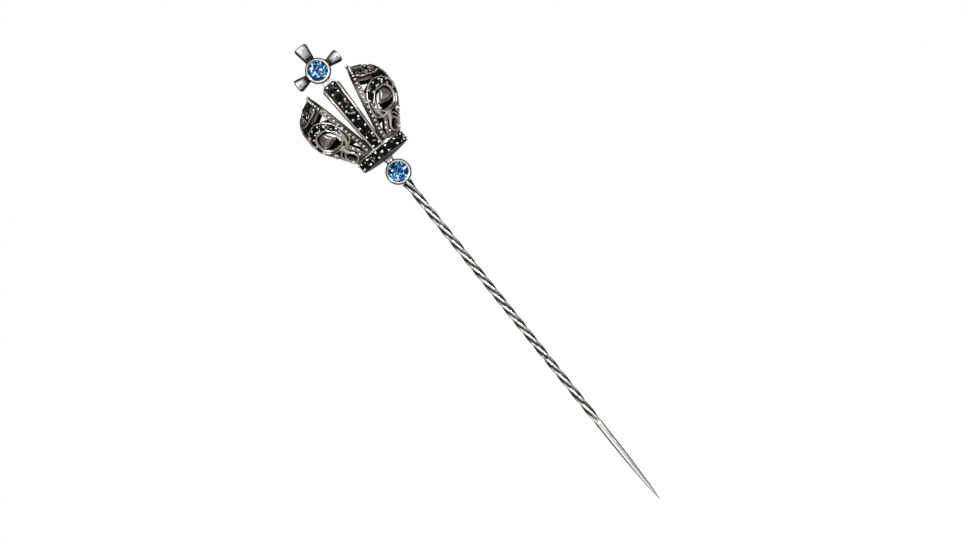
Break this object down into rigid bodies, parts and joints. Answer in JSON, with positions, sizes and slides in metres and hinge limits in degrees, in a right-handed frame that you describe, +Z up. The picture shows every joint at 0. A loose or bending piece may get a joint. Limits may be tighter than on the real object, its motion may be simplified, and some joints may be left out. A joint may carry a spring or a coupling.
{
  "type": "hat pin",
  "caption": "Hat pin with a small openwork imperial crown and cross, set with black and blue round stones, on a twisted wire with a needle point.",
  "frame": {"origin": "on the pin's axis, in the middle of the plain round shank above the point", "axes": "+Z up the wire from the point to the cross; the crown's front, with the stones' tables, faces -Y; +X to the front view's right"},
  "size_m": [0.0144, 0.0148, 0.08],
  "materials": {
    "polished_silver": "polished",
    "oxidised_silver": "oxidised, with bright worn edges",
    "blue_stone": "faceted",
    "black_stone": "faceted"
  },
  "bodies": {
    "root": {"pin_wire": "polished_silver", "lower_bezel": "polished_silver", "lower_blue_stone": "blue_stone", "neck_post": "polished_silver", "crown_floor": "polished_silver", "base_band": "oxidised_silver", "band_stones": "black_stone", "band_grains": "polished_silver", "seat_ring": "polished_silver", "left_lobe": "oxidised_silver", "right_lobe": "oxidised_silver", "left_edge_beads": "polished_silver", "right_edge_beads": "polished_silver", "left_front_halo": "oxidised_silver", "left_back_halo": "oxidised_silver", "right_front_halo": "oxidised_silver", "right_back_halo": "oxidised_silver", "left_front_halo_stones": "black_stone", "left_back_halo_stones": "black_stone", "right_front_halo_stones": "black_stone", "right_back_halo_stones": "black_stone", "left_front_leaf": "polished_silver", "left_back_leaf": "polished_silver", "right_front_leaf": "polished_silver", "right_back_leaf": "polished_silver", "left_front_eyelet": "polished_silver", "left_back_eyelet": "polished_silver", "right_front_eyelet": "polished_silver", "right_back_eyelet": "polished_silver", "left_front_scroll": "oxidised_silver", "left_back_scroll": "oxidised_silver", "right_front_scroll": "oxidised_silver", "right_back_scroll": "oxidised_silver", "arch_channel": "oxidised_silver", "arch_front_stones": "black_stone", "arch_back_stones": "black_stone", "arch_front_grains": "polished_silver", "arch_back_grains": "polished_silver", "cross_foot": "polished_silver", "cross_bezel": "polished_silver", "cross_blue_stone": "blue_stone", "cross_top_arm": "polished_silver", "cross_left_arm": "polished_silver", "cross_right_arm": "polished_silver"}
  },
  "joints": []
}
